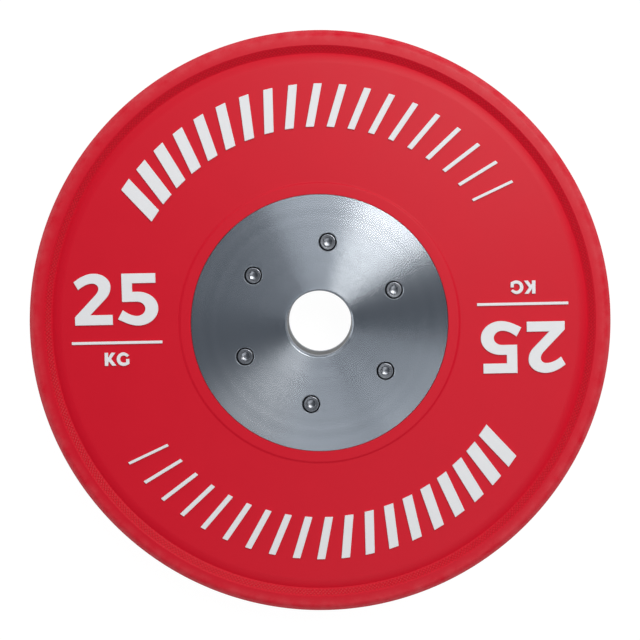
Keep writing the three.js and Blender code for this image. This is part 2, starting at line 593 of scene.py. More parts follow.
@dataclass(frozen=True)
class RubberFinish:
    """Moulded rubber with a grain, uneven gloss, a little dust, painted shade in the valleys and a
    rubbed rim.
    """

    slot: str
    colour: Colour
    shade: Colour
    dust: Colour
    roughness: float
    roughness_swing: float
    grain_size: float
    grain_depth: float
    mottle_size: float
    dust_share: float
    smears_to_mottle: float = 3.0
    specular: float = 0.21
    # Colour of the shade painted into hollows, and how sharply it gathers at the mask's peaks
    painted_shade: Colour | None = None
    painted_shade_sharpness: float = 4.0
    wear_share: float = 0.0
    wear_radius: float = 214 * MM
    wear_fade: float = 7 * MM
    wear_patch: float = 12 * MM

    def build(self, effects: SharedEffects) -> bpy.types.Material:
        """Builds the material.

        Args:
            effects: The shared node groups.

        Returns:
            The material.
        """
        material, graph, shader, place = blank_material(self.slot)
        sizes = {"Grain Size": self.grain_size, "Mottle Size": self.mottle_size}
        grain = graph.use(effects.moulded_grain, {"Vector": place, **sizes})
        smear_size = self.mottle_size * self.smears_to_mottle
        smears = graph.use(effects.handling, {"Vector": place, "Size": smear_size})["Smears"]
        colour = graph.blend(grain["Mottle"], linear(self.shade), linear(self.colour))
        dusty = graph.calculate("MULTIPLY", grain["Specks"], self.dust_share)
        colour = graph.blend(dusty, colour, linear(self.dust))
        if self.wear_share:
            reach = {"Inner Radius": self.wear_radius, "Fade": self.wear_fade}
            inputs = {"Vector": place, "Patch Size": self.wear_patch, **reach}
            wear = graph.use(effects.rim_wear, inputs)["Wear"]
            rubbed = graph.calculate("MULTIPLY", wear, self.wear_share)
            colour = graph.blend(rubbed, colour, linear(self.dust))
        # Painted shade: the colour darkens where the mask marks hollows
        if self.painted_shade:
            mask = graph.add("Attribute", attribute_name=PAINTED_SHADE_MASK).outputs["Fac"]
            shaded_valleys = graph.calculate("POWER", mask, self.painted_shade_sharpness)
            colour = graph.blend(shaded_valleys, colour, linear(self.painted_shade))
        gloss = graph.worn_gloss(grain["Mottle"], smears, self.roughness, self.roughness_swing)
        graph.fill(
            shader,
            {
                "Base Color": colour,
                "Roughness": gloss,
                "Specular IOR Level": self.specular,
                "Normal": graph.bumps(grain["Grain"], self.grain_depth),
            },
        )
        return material


@dataclass(frozen=True)
class TurnedSteelFinish:
    """Steel cut on a lathe, with tool marks, an uneven polish and painted shade in its holes."""

    slot: str
    colour: Colour
    shade: Colour
    roughness: float
    roughness_swing: float
    anisotropy: float
    axis: RingAxis
    pitch: float
    mark_depth: float
    band_width: float
    smear_size: float = 30 * MM
    # Colour of the shade painted into holes and on flanks sunk in them
    painted_shade: Colour | None = None
    glance: float = 0.7

    def build(self, effects: SharedEffects) -> bpy.types.Material:
        """Builds the material.

        Args:
            effects: The shared node groups.

        Returns:
            The material.
        """
        material, graph, shader, place = blank_material(self.slot)
        if self.axis is RingAxis.RADIUS:
            distance = graph.radius(place)
        else:
            distance = graph.add("SeparateXYZ", {"Vector": place}).outputs["Z"]
        sizes = {"Pitch": self.pitch, "Band Width": self.band_width}
        marks = graph.use(effects.turning_marks, {"Distance": distance, **sizes})
        smears = graph.use(effects.handling, {"Vector": place, "Size": self.smear_size})["Smears"]
        tint = graph.blend(marks["Bands"], linear(self.shade), linear(self.colour))
        # Painted shade: the colour darkens where the mask marks hole walls and sunk flanks
        if self.painted_shade:
            mask = graph.add("Attribute", attribute_name=PAINTED_SHADE_MASK).outputs["Fac"]
            tint = graph.blend(mask, tint, linear(self.painted_shade))
        graph.fill(
            shader,
            {
                "Base Color": tint,
                "Metallic": 1.0,
                "Roughness": graph.worn_gloss(
                    marks["Bands"], smears, self.roughness, self.roughness_swing
                ),
                "Specular Tint": (self.glance, self.glance, self.glance, 1.0),
                "Anisotropic": self.anisotropy,
                "Normal": graph.bumps(marks["Marks"], self.mark_depth),
            },
        )
        if self.anisotropy:
            tangent = graph.add("Tangent", direction_type="RADIAL", axis="Z").outputs[0]
            graph.fill(shader, {"Tangent": tangent, "Anisotropic Rotation": QUARTER_TURN})
        return material


@dataclass(frozen=True)
class CastFinish:
    """Blackened cast steel with a coarse skin."""

    slot: str
    colour: Colour
    shade: Colour
    roughness: float
    grain_size: float
    grain_depth: float
    mottle_size: float
    metal_share: float = 0.8

    def build(self, effects: SharedEffects) -> bpy.types.Material:
        """Builds the material.

        Args:
            effects: The shared node groups.

        Returns:
            The material.
        """
        material, graph, shader, place = blank_material(self.slot)
        sizes = {"Grain Size": self.grain_size, "Mottle Size": self.mottle_size}
        grain = graph.use(effects.moulded_grain, {"Vector": place, **sizes})
        graph.fill(
            shader,
            {
                "Base Color": graph.blend(grain["Mottle"], linear(self.shade), linear(self.colour)),
                "Metallic": self.metal_share,
                "Roughness": self.roughness,
                "Normal": graph.bumps(grain["Grain"], self.grain_depth),
            },
        )
        return material


RED_RUBBER = RubberFinish(
    slot="red_rubber",
    colour=(0.825, 0.055, 0.155),
    shade=(0.805, 0.05, 0.15),
    dust=(0.86, 0.42, 0.44),
    roughness=0.42,
    roughness_swing=0.03,
    grain_size=0.5 * MM,
    grain_depth=0.02 * MM,
    mottle_size=30 * MM,
    dust_share=0.12,
    # Painted shade in the valleys of the grip band
    painted_shade=(0.71, 0.01, 0.09),
    wear_share=0.32,
)
WHITE_MARKING = RubberFinish(
    slot="white_marking",
    colour=(0.918, 0.922, 0.932),
    shade=(0.895, 0.90, 0.91),
    dust=(0.70, 0.68, 0.69),
    roughness=0.55,
    roughness_swing=0.05,
    grain_size=0.6 * MM,
    grain_depth=0.02 * MM,
    mottle_size=12 * MM,
    dust_share=0.15,
)
DISC_STEEL = TurnedSteelFinish(
    slot="disc_steel",
    colour=(0.644, 0.672, 0.707),
    shade=(0.620, 0.648, 0.683),
    roughness=0.24,
    roughness_swing=0.012,
    anisotropy=0.93,
    axis=RingAxis.RADIUS,
    pitch=0.35 * MM,
    mark_depth=0.004 * MM,
    band_width=6 * MM,
    # Painted shade on the counterbore walls
    painted_shade=(0.22, 0.23, 0.25),
)
SCREW_STEEL = TurnedSteelFinish(
    slot="screw_steel",
    colour=(0.56, 0.575, 0.60),
    shade=(0.48, 0.495, 0.52),
    roughness=0.26,
    roughness_swing=0.05,
    anisotropy=0.0,
    axis=RingAxis.HEIGHT,
    pitch=0.4 * MM,
    mark_depth=0.002 * MM,
    band_width=3 * MM,
    # Painted shade on the head's chamfer and flank, down in the counterbore
    painted_shade=(0.22, 0.23, 0.25),
)
BORE_STEEL = TurnedSteelFinish(
    slot="bore_steel",
    colour=(0.335, 0.345, 0.36),
    shade=(0.275, 0.285, 0.30),
    roughness=0.32,
    roughness_swing=0.06,
    anisotropy=0.5,
    axis=RingAxis.HEIGHT,
    pitch=0.5 * MM,
    mark_depth=0.006 * MM,
    band_width=5 * MM,
    glance=0.55,
)
CORE_STEEL = CastFinish(
    slot="core_steel",
    colour=(0.32, 0.33, 0.34),
    shade=(0.24, 0.25, 0.26),
    roughness=0.65,
    grain_size=1.2 * MM,
    grain_depth=0.05 * MM,
    mottle_size=9.6 * MM,
)


@dataclass
class RubberBody:
    """The moulded rubber ring: bevelled edge, rim land, grip band, shoulder, face and collar."""

    edge_width: float = 4 * MM
    edge_drop: float = 3.6 * MM
    wall_rounding: float = 0.8 * MM
    rim_rounding: float = 2.2 * MM
    land_width: float = 8 * MM
    grip_width: float = 5.7 * MM
    grip_drop: float = 4.2 * MM
    shoulder_width: float = 4 * MM
    shoulder_rounding: float = 4 * MM
    face_drop: float = 2.5 * MM
    collar_width: float = 8 * MM
    collar_slope: float = 1.6 * MM
    collar_rise: float = 0.8 * MM
    collar_rounding: float = 0.4 * MM
    hub_gap: float = 0.08 * MM
    hub_rounding: float = 0.1 * MM
    wall_inset: float = 0.05 * MM
    parting_width: float = 0.5 * MM
    pocket_radius: float = 150.1 * MM
    pocket_half_height: float = 7.3 * MM
    diamonds: int = 474
    grip_rows: int = 5
    diamond_height: float = 0.12 * MM
    smooth_angle: float = 14.0

    @property
    def steps(self) -> int:
        """Steps in a full turn: each diamond is two steps wide."""
        return 2 * self.diamonds

    @property
    def land_inner(self) -> float:
        """Radius where the rim land meets the grip band."""
        return PLATE_RADIUS - self.edge_width - self.land_width

    @property
    def face_height(self) -> float:
        """Height of the flat front face."""
        return PLATE_HEIGHT - self.face_drop

    def grip_row(self, row: int) -> Corner:
        """Gives the outline's point at a row of the grip band.

        Args:
            row: 0 at the land, and the number of rows at the band's foot.

        Returns:
            The corner.
        """
        share = row / self.grip_rows
        height = PLATE_HEIGHT - share * self.grip_drop
        return Corner(self.land_inner - share * self.grip_width, height)

    def face_corners(self) -> list[Corner]:
        """Lists the front's corners from the outer wall to the inner wall.

        Returns:
            The corners, without the ends of the walls.
        """
        wall = PLATE_RADIUS - self.wall_inset
        face_outer = self.land_inner - self.grip_width - self.shoulder_width
        collar_outer = HUB_RADIUS + self.collar_width
        collar_height = self.face_height + self.collar_rise
        return [
            Corner(wall, PLATE_HEIGHT - self.edge_drop, self.wall_rounding, segments=6),
            Corner(PLATE_RADIUS - self.edge_width, PLATE_HEIGHT, self.rim_rounding, segments=8),
            *(self.grip_row(row) for row in range(self.grip_rows + 1)),
            Corner(face_outer, self.face_height, self.shoulder_rounding, segments=8),
            Corner(collar_outer + self.collar_slope, self.face_height, self.collar_rounding),
            Corner(collar_outer, collar_height, self.collar_rounding),
            Corner(HUB_RADIUS + self.hub_gap, collar_height, self.hub_rounding),
        ]

    def outline(self) -> list[Corner]:
        """Lists the whole closed outline, with the parting line and the pocket for the flange.

        Returns:
            The corners in order, from the parting line upwards.
        """
        front = self.face_corners()
        rear = [
            Corner(corner.radius, 2 * MID_HEIGHT - corner.height, corner.rounding, corner.segments)
            for corner in reversed(front)
        ]
        wall = PLATE_RADIUS - self.wall_inset
        inner_wall = HUB_RADIUS + self.hub_gap
        half_line = self.parting_width / 2
        return [
            Corner(wall, MID_HEIGHT - half_line),
            Corner(PLATE_RADIUS, MID_HEIGHT),
            Corner(wall, MID_HEIGHT + half_line),
            *front,
            Corner(inner_wall, MID_HEIGHT + self.pocket_half_height),
            Corner(self.pocket_radius, MID_HEIGHT + self.pocket_half_height),
            Corner(self.pocket_radius, MID_HEIGHT - self.pocket_half_height),
            Corner(inner_wall, MID_HEIGHT - self.pocket_half_height),
            *rear,
        ]

    def row_of(self, place: Vector) -> int | None:
        """Finds the row of the grip bands that a point lies on.

        Args:
            place: The point, on either face.

        Returns:
            The row between the bands' edges, or None off the bands.
        """
        radius = math.hypot(place.x, place.y)
        row = round((self.land_inner - radius) / self.grip_width * self.grip_rows)
        if not 0 < row < self.grip_rows:
            return None
        target = self.grip_row(row)
        height = MID_HEIGHT + abs(place.z - MID_HEIGHT)
        near = math.hypot(radius - target.radius, height - target.height) < 2 * self.diamond_height
        return row if near else None

    def is_tip(self, place: Vector) -> bool | None:
        """Says whether a point of the grip bands is the tip of a diamond.

        Args:
            place: The point, on either face.

        Returns:
            True on a tip, False between the tips and None off the bands.
        """
        row = self.row_of(place)
        if row is None:
            return None
        column = round(math.atan2(place.y, place.x) / (2 * math.pi) * self.steps)
        return (row + column) % 2 == 0

    def press_grip(self, piece: bpy.types.Object) -> None:
        """Raises every other point of the grip bands and creases the faces between them.

        Args:
            piece: The turned body.
        """
        for tip, distance in ((True, self.diamond_height), (False, -self.diamond_height)):
            with editing(piece):
                select_points(lambda place: self.is_tip(place) is tip)
                bpy.ops.transform.shrink_fatten(value=distance)
        for first_is_tip, method in ((True, "FIXED_ALTERNATE"), (False, "FIXED")):

            def wanted(face: bmesh.types.BMFace) -> bool:
                """Says whether a square has its tips at this pair of corners.

                Args:
                    face: The square.

                Returns:
                    Whether its crease runs this way.
                """
                tips = [self.is_tip(vertex.co) for vertex in face.verts]
                if len(tips) != 4 or True not in tips:
                    return False
                return (tips[0] is True or tips[2] is True) == first_is_tip

            with editing(piece):
                select_faces(wanted)
                bpy.ops.mesh.quads_convert_to_tris(quad_method=method)

    def build(self, material: bpy.types.Material) -> None:
        """Models and dresses the body.

        Args:
            material: The red rubber.
        """
        piece = turned_piece("moulded_rubber", self.outline(), self.steps)
        self.press_grip(piece)
        tidy_mesh(piece, self.smooth_angle)
        # Shade painted into the valleys between the diamonds
        paint_shade_at_points(piece, lambda place: self.is_tip(place) is False)
        finish_piece(piece, material, RED_RUBBER.slot, ["rubber_body"])


@dataclass
class HubDisc:
    """A turned steel cover disc with counterbored screw holes."""

    bore_radius: float = 25.2 * MM
    edge_chamfer: float = 0.3 * MM
    bore_chamfer: float = 1.4 * MM
    bore_rounding: float = 0.25 * MM
    recess_depth: float = 4 * MM
    seat_gap: float = 0.2 * MM
    burr: float = 0.08 * MM
    counterbore_radius: float = 7.0 * MM
    counterbore_chamfer: float = 0.55 * MM
    shank_hole_radius: float = 4.5 * MM
    head_height: float = 8 * MM
    steps: int = 288
    hole_steps: int = 64

    def outline(self) -> list[Corner]:
        """Lists the disc's corners, from its outer edge over the top to the recess below.

        Returns:
            The corners in order.
        """
        low = DISC_LOW.z
        top = DISC_HIGH.z
        recess_top = low + self.recess_depth - self.seat_gap
        recess_radius = SLEEVE_HIGH.x + FIT_GAP
        return [
            Corner(HUB_RADIUS, low),
            Corner(HUB_RADIUS, top - self.edge_chamfer, self.burr),
            Corner(HUB_RADIUS - self.edge_chamfer, top, self.burr),
            Corner(self.bore_radius + self.bore_chamfer, top, self.bore_rounding, 4),
            Corner(self.bore_radius, top - self.bore_chamfer, self.bore_rounding, 4),
            Corner(self.bore_radius, recess_top),
            Corner(recess_radius, recess_top),
            Corner(recess_radius, low),
        ]

    def hole_cutter(self, screw: str) -> bpy.types.Object:
        """Turns the solid that a screw's hole takes out of the disc.

        Args:
            screw: The CAD node of the screw that the hole is for.

        Returns:
            The cutter at the screw's place.
        """
        low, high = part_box(screw)
        seat = high.z - self.head_height - self.seat_gap
        top = DISC_HIGH.z
        flare = self.counterbore_radius + 2 * self.counterbore_chamfer
        cutter = turned_piece(
            "hole_cutter",
            [
                Corner(0, DISC_LOW.z - MM),
                Corner(self.shank_hole_radius, DISC_LOW.z - MM),
                Corner(self.shank_hole_radius, seat),
                Corner(self.counterbore_radius, seat),
                Corner(self.counterbore_radius, top - self.counterbore_chamfer),
                Corner(flare, top + self.counterbore_chamfer),
                Corner(0, top + self.counterbore_chamfer),
            ],
            self.hole_steps,
        )
        centre = (low + high) / 2
        cutter.location = (centre.x, centre.y, 0)
        set_in_place(cutter)
        return cutter

    def in_hole(self, polygon: bpy.types.MeshPolygon, centres: Sequence[Vector]) -> bool:
        """Says whether a face of the front disc lies in a screw's hole, below the mouth.

        Args:
            polygon: The face.
            centres: The middles of the screws.

        Returns:
            Whether shade is painted on the face.
        """
        place = polygon.center
        if place.z > DISC_HIGH.z - self.counterbore_chamfer:
            return False
        reach = self.counterbore_radius + self.seat_gap
        return any((place - centre).xy.length < reach for centre in centres)

    def build(self, material: bpy.types.Material) -> None:
        """Models the front disc, turns a copy of it over for the rear, and dresses both.

        Args:
            material: The turned steel.
        """
        disc = turned_piece("front_turned_disc", self.outline(), self.steps)
        screws = node_names("front_screw_")
        cutters = joined("hole_cutter", [self.hole_cutter(name) for name in screws])
        cut_away(disc, cutters)
        tidy_mesh(disc)
        centres = [(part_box(name)[0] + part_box(name)[1]) / 2 for name in screws]
        # Shade painted on the walls of the screw holes, below the mouth
        paint_shade_on_faces(disc, lambda polygon: self.in_hole(polygon, centres))
        rear = copied(disc, "rear_turned_disc", turned_over())
        for piece, node in ((disc, "front_disc"), (rear, "rear_disc")):
            finish_piece(piece, material, DISC_STEEL.slot, [node])


@dataclass
class CapScrews:
    """Socket head screws, sunk in the discs' counterbores."""

    shank_radius: float = 4 * MM
    head_radius: float = 6.5 * MM
    head_height: float = 8 * MM
    head_chamfer: float = 0.8 * MM
    tip_chamfer: float = 1 * MM
    socket_across_flats: float = 6 * MM
    socket_depth: float = 4 * MM
    socket_chamfer: float = 0.35 * MM
    drill_inset: float = 0.3 * MM
    drill_point_depth: float = 1.2 * MM
    flank_rounding: float = 0.2 * MM
    rim_rounding: float = 0.3 * MM
    dimple: float = 0.15 * MM
    dimple_slope: float = 1 * MM
    # The head's flat, within this depth and inset, gets no painted shade
    unshaded_depth: float = 0.16 * MM
    unshaded_inset: float = 0.96 * MM
    turn_between: float = 0.7
    steps: int = 64

    def socket_cutter(self, top: float) -> bpy.types.Object:
        """Models the hexagon that is pressed into the head, with a drill point at its bottom.

        Args:
            top: Height of the head's top.

        Returns:
            The cutter on the Z axis.
        """
        radius = self.socket_across_flats / math.sqrt(3)
        depth = self.socket_depth + MM
        bpy.ops.mesh.primitive_cylinder_add(
            vertices=6, radius=radius, depth=depth, location=(0, 0, top + MM - depth / 2)
        )
        cutter = bpy.context.object
        set_in_place(cutter)
        floor = top - self.socket_depth
        with editing(cutter):
            select_points(lambda place: abs(place.z - floor) < MATCH_DISTANCE)
            bpy.ops.mesh.inset(thickness=self.drill_inset)
            bpy.ops.mesh.extrude_region_move(
                TRANSFORM_OT_translate={"value": (0, 0, -self.drill_point_depth)}
            )
            bpy.ops.mesh.merge(type="CENTER")
        tidy_mesh(cutter)
        return cutter

    def mouth_cutter(self, top: float) -> bpy.types.Object:
        """Models the cone that breaks the socket's edge.

        Args:
            top: Height of the head's top.

        Returns:
            The cutter on the Z axis.
        """
        radius = self.socket_across_flats / math.sqrt(3) + self.socket_chamfer
        bpy.ops.mesh.primitive_cone_add(
            vertices=self.steps,
            radius1=0,
            radius2=2 * radius,
            depth=2 * radius,
            location=(0, 0, top),
        )
        cutter = bpy.context.object
        set_in_place(cutter)
        tidy_mesh(cutter)
        return cutter

    def screw(self, low: float, top: float) -> bpy.types.Object:
        """Models one screw on the Z axis.

        Args:
            low: Height of the screw's tip.
            top: Height of the head's top.

        Returns:
            The screw.
        """
        seat = top - self.head_height
        rim = self.head_radius - self.head_chamfer
        piece = turned_piece(
            "cap_screw",
            [
                Corner(0, low),
                Corner(self.shank_radius - self.tip_chamfer, low),
                Corner(self.shank_radius, low + self.tip_chamfer),
                Corner(self.shank_radius, seat),
                Corner(self.head_radius, seat),
                Corner(self.head_radius, top - self.head_chamfer, self.flank_rounding),
                Corner(rim, top, self.rim_rounding),
                Corner(rim - self.dimple_slope, top - self.dimple),
                Corner(0, top - self.dimple),
            ],
            self.steps,
        )
        for cutter in (self.socket_cutter(top), self.mouth_cutter(top)):
            cut_away(piece, cutter)
        tidy_mesh(piece)
        # Shade painted on the head's chamfer and flank
        paint_shade_on_faces(piece, lambda polygon: self.on_flank(polygon, top))
        return piece

    def on_flank(self, polygon: bpy.types.MeshPolygon, top: float) -> bool:
        """Says whether a face of a screw lies outside the flat of its head, where shade is painted.
        """
        low = polygon.center.z < top - self.unshaded_depth
        return low and polygon.center.xy.length > self.head_radius - self.unshaded_inset

    def build(self, material: bpy.types.Material) -> None:
        """Models one screw, places a copy at each CAD screw and dresses them.

        Args:
            material: The plated steel.
        """
        low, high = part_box("front_screw_1")
        model = self.screw(low.z, high.z)
        for side in Side:
            for index, name in enumerate(node_names(f"{side.value}_screw_")):
                low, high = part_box(name)
                centre = (low + high) / 2
                turn = Matrix.Rotation(index * self.turn_between, 4, "Z")
                place = Matrix.Translation((centre.x, centre.y, 0)) @ turn
                if side is Side.REAR:
                    place = place @ turned_over()
                piece = copied(model, name.replace("screw", "cap_screw"), place)
                finish_piece(piece, material, SCREW_STEEL.slot, [name])
        bpy.data.objects.remove(model)


@dataclass
class BoreSleeve:
    """The steel liner of the bore between the two discs."""

    wall: float = 5 * MM
    edge_break: float = 0.4 * MM
    steps: int = 192

    def build(self, material: bpy.types.Material) -> None:
        """Models and dresses the sleeve.

        Args:
            material: The bored steel.
        """
        outer = SLEEVE_HIGH.x
        inner = outer - self.wall
        sleeve = turned_piece(
            "bored_sleeve",
            [
                Corner(outer, SLEEVE_LOW.z),
                Corner(outer, SLEEVE_HIGH.z),
                Corner(inner, SLEEVE_HIGH.z, self.edge_break),
                Corner(inner, SLEEVE_LOW.z, self.edge_break),
            ],
            self.steps,
        )
        finish_piece(sleeve, material, BORE_STEEL.slot, ["centre_sleeve"])


@dataclass(frozen=True)
class Knot:
    """A point of a drawn outline, in millimetres, with the heading of the curve on each side of it.

    A heading is in degrees, anticlockwise from the right. None means that the side is straight.
    """

    across: float
    up: float
    arrive: float | None = None
    leave: float | None = None


def smooth(across: float, up: float, heading: float) -> Knot:
    """Gives a knot that a curve passes with one heading."""
    return Knot(across, up, heading, heading)


def straight(*places: tuple[float, float]) -> tuple[Knot, ...]:
    """Gives the knots of an outline that has only straight sides."""
    return tuple(Knot(across, up) for across, up in places)


TWO = (
    Knot(-189.4, 35.4, leave=38),
    smooth(-174.0, 41.8, 0),
    smooth(-160.9, 31.6, -90),
    Knot(-164.9, 22.1, arrive=-135.4),
    Knot(-177.1, 9.7),
    Knot(-159.8, 9.7),
    Knot(-159.8, 1.9),
    Knot(-189.0, 1.9),
    Knot(-189.0, 8.4),
    Knot(-173.0, 24.9, leave=46),
    smooth(-170.3, 30.3, 90),
    smooth(-174.9, 34.1, 180),
    Knot(-186.0, 29.3, arrive=220),
)
FIVE = (
    Knot(-152.3, 41.4),
    Knot(-126.0, 41.4),
    Knot(-126.0, 33.8),
    Knot(-144.2, 33.8),
    Knot(-144.2, 27.2),
    Knot(-139.9, 27.2, leave=0),
    smooth(-124.3, 14.3, -90),
    smooth(-139.9, 1.0, 180),
    Knot(-155.7, 6.2, arrive=153),
    Knot(-151.8, 13.2, leave=-38),
    smooth(-140.9, 8.5, 0),
    smooth(-134.3, 14.1, 90),
    Knot(-140.8, 19.5, arrive=180),
    Knot(-152.2, 19.5),
)
UNIT_K = straight(
    (-166.9, -19.6), (-164.2, -19.6), (-164.2, -23.5), (-161.6, -19.6), (-158.4, -19.6),
    (-161.9, -24.4), (-158.0, -29.8), (-161.2, -29.8), (-163.5, -26.4), (-164.2, -27.3),
    (-164.2, -29.8), (-166.9, -29.8),
)
UNIT_G = (
    Knot(-147.9, -21.9, leave=140),
    smooth(-152.3, -19.5, 180),
    smooth(-157.6, -24.8, -90),
    smooth(-152.2, -30.1, 0),
    Knot(-147.8, -28.5, arrive=33),
    Knot(-147.8, -24.7),
    Knot(-150.3, -24.7),
    Knot(-150.3, -27.2, leave=200),
    smooth(-152.2, -27.6, 180),
    smooth(-154.9, -24.8, 90),
    smooth(-152.2, -22.0, 0),
    Knot(-149.5, -23.3, arrive=-40),
)
RULE = straight((-192.0, -10.9), (-121.8, -10.9), (-121.8, -13.1), (-192.0, -13.1))


@dataclass
class Markings:
    """Raised white markings: the weight and its unit twice, and two plain arcs of stripes."""

    rise: float = 1.5 * MM
    sink: float = 0.4 * MM
    edge: float = 0.35 * MM
    edge_steps: int = 2
    curve_steps: int = 12
    least_turn: float = 1.0
    tilt: float = 1.16
    face_height: float = PLATE_HEIGHT - RubberBody.face_drop
    stripe_count: int = 19
    stripe_inner: float = 151 * MM
    stripe_outer: float = 184 * MM
    stripe_first: float = 145.5
    stripe_last: float = 37.5
    stripe_wide: float = 10.5 * MM
    stripe_narrow: float = 2.2 * MM
    stripe_lean: float = 7 * MM

    @property
    def low(self) -> float:
        """Height where a marking starts, inside the rubber."""
        return self.face_height - self.sink

    @property
    def high(self) -> float:
        """Height of a marking's top."""
        return self.face_height + self.rise

    def handle(
        self, knot: Knot, other: Knot, heading: float | None, other_heading: float | None
    ) -> Vector:
        """Works out a curve handle that draws a near-elliptic arc between two knots.

        Args:
            knot: The knot that the handle belongs to.
            other: The knot at the other end of the curve.
            heading: Direction from the knot along the curve, or None on a straight side.
            other_heading: Direction at the other knot towards this one, reversed, or None.

        Returns:
            The handle's place in the drawing plane, in metres.
        """
        start = Vector((knot.across, knot.up)) * MM
        chord = Vector((other.across, other.up)) * MM - start
        if heading is None or other_heading is None:
            return start + chord / 3
        degrees = abs((other_heading - heading + 180) % 360 - 180)
        turn = math.radians(max(degrees, self.least_turn))
        share = 4 / 3 * math.tan(turn / 4) / math.sin(turn)
        direction = Vector((math.cos(math.radians(heading)), math.sin(math.radians(heading))))
        return start + direction * abs(chord.dot(direction)) * share

    def raised_shape(self, name: str, knots: Sequence[Knot]) -> bpy.types.Object:
        """Draws a closed outline and gives it its thickness and rounded edges.

        Args:
            name: The shape's name.
            knots: The outline in order.

        Returns:
            The shape as a mesh on the front face.
        """
        bpy.ops.curve.primitive_bezier_curve_add()
        shape = bpy.context.object
        shape.name = name
        drawing = shape.data
        drawing.dimensions = "2D"
        drawing.fill_mode = "BOTH"
        drawing.resolution_u = self.curve_steps
        drawing.extrude = (self.high - self.low) / 2 - self.edge
        drawing.bevel_depth = self.edge
        drawing.bevel_resolution = self.edge_steps
        drawing.offset = -self.edge
        spline = drawing.splines[0]
        spline.bezier_points.add(len(knots) - 2)
        spline.use_cyclic_u = True
        for index, point in enumerate(spline.bezier_points):
            before = knots[index - 1]
            here = knots[index]
            after = knots[(index + 1) % len(knots)]
            point.handle_left_type = "FREE"
            point.handle_right_type = "FREE"
            point.co = (here.across * MM, here.up * MM, 0)
            back = None if here.arrive is None else here.arrive + 180
            from_before = None if before.leave is None else before.leave + 180
            point.handle_left = (*self.handle(here, before, back, from_before), 0)
            point.handle_right = (*self.handle(here, after, here.leave, after.arrive), 0)
        shape.location.z = (self.low + self.high) / 2
        shape.rotation_euler.z = math.radians(self.tilt)
        pick(shape)
        bpy.ops.object.convert(target="MESH")
        set_in_place(shape)
        tidy_mesh(shape)
        return shape

    def stripe(self, width: float, angle: float) -> bpy.types.Object:
        """Models one leaning stripe of an arc.

        Args:
            width: The stripe's width.
            angle: Its place round the plate, in degrees anticlockwise from the right.

        Returns:
            The stripe on the front face.
        """
        length = self.stripe_outer - self.stripe_inner
        bpy.ops.mesh.primitive_cube_add(size=1)
        piece = bpy.context.object
        piece.scale = (length, width, self.high - self.low)
        set_in_place(piece)
        with editing(piece):
            select_points(lambda place: place.x > 0)
            bpy.ops.transform.translate(value=(0, -self.stripe_lean, 0))
        segments = self.edge_steps + 1
        apply_modifier(piece, "BEVEL", width=self.edge, segments=segments, limit_method="ANGLE")
        middle = (self.stripe_inner + self.stripe_outer) / 2
        turn = Matrix.Rotation(math.radians(angle), 4, "Z")
        height = (self.low + self.high) / 2
        piece.matrix_world = turn @ Matrix.Translation((middle, self.stripe_lean / 2, height))
        set_in_place(piece)
        return piece

    def stripe_arc(self) -> bpy.types.Object:
        """Models the upper arc, whose stripes get thinner towards the right.

        Returns:
            The arc as one piece on the front face.
        """
        stripes = []
        for index in range(self.stripe_count):
            share = index / (self.stripe_count - 1)
            width = self.stripe_wide + (self.stripe_narrow - self.stripe_wide) * share
            angle = self.stripe_first + (self.stripe_last - self.stripe_first) * share
            stripes.append(self.stripe(width, angle))
        arc = joined("front_stripes_upper", stripes)
        tidy_mesh(arc)
        return arc

    def build(self, material: bpy.types.Material) -> None:
        """Models the markings once and copies them across the plate and to its rear.

        Args:
            material: The white rubber.
        """
        shapes = [
            self.raised_shape(name, knots)
            for name, knots in (
                ("two", TWO), ("five", FIVE), ("unit_k", UNIT_K), ("unit_g", UNIT_G), ("rule", RULE)
            )
        ]
        weight = joined("front_weight_left", shapes)
        stripes = self.stripe_arc()
        across = Matrix.Rotation(math.pi, 4, "Z")
        fronts = [
            weight,
            copied(weight, "front_weight_right", across),
            stripes,
            copied(stripes, "front_stripes_lower", across),
        ]
        rears = [
            copied(piece, piece.name.replace("front", "rear"), turned_over()) for piece in fronts
        ]
        for piece in fronts + rears:
            finish_piece(piece, material, WHITE_MARKING.slot)


@dataclass
class HiddenCore:
    """The steel core and the trim slugs, which stay as their CAD solids."""

    def build(self, material: bpy.types.Material) -> None:
        """Dresses the CAD nodes that lie inside the plate.

        Args:
            material: The blackened steel.
        """
        for name in node_names("steel_core") + node_names("trim_slug_"):
            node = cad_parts[name]
            node.data.materials.clear()
            node.data.materials.append(material)
            log.info("%s: CAD solid, %s", name, CORE_STEEL.slot)


# The light of the key lamps
WARM: Colour = (1.0, 0.965, 0.92)


@dataclass(frozen=True)
class Lamp:
    """A soft box that faces the middle of the plate."""

    name: str
    azimuth: float
    elevation: float
    width: float
    height: float
    watts: float
    tint: Colour = (1.0, 1.0, 1.0)
    distance: float = 1.8

    def build(self) -> None:
        """Adds the lamp."""
        target = Vector((0, 0, MID_HEIGHT))
        azimuth = math.radians(self.azimuth)
        elevation = math.radians(self.elevation)
        away = Vector(
            (
                math.cos(elevation) * math.cos(azimuth),
                math.cos(elevation) * math.sin(azimuth),
                math.sin(elevation),
            )
        )
        bpy.ops.object.light_add(type="AREA", location=target + away * self.distance)
        lamp = bpy.context.object
        lamp.name = self.name
        lamp.rotation_euler = (-away).to_track_quat("-Z", "Y").to_euler()
        lamp.data.shape = "RECTANGLE"
        lamp.data.size = self.width
        lamp.data.size_y = self.height
        lamp.data.energy = self.watts
        lamp.data.color = self.tint


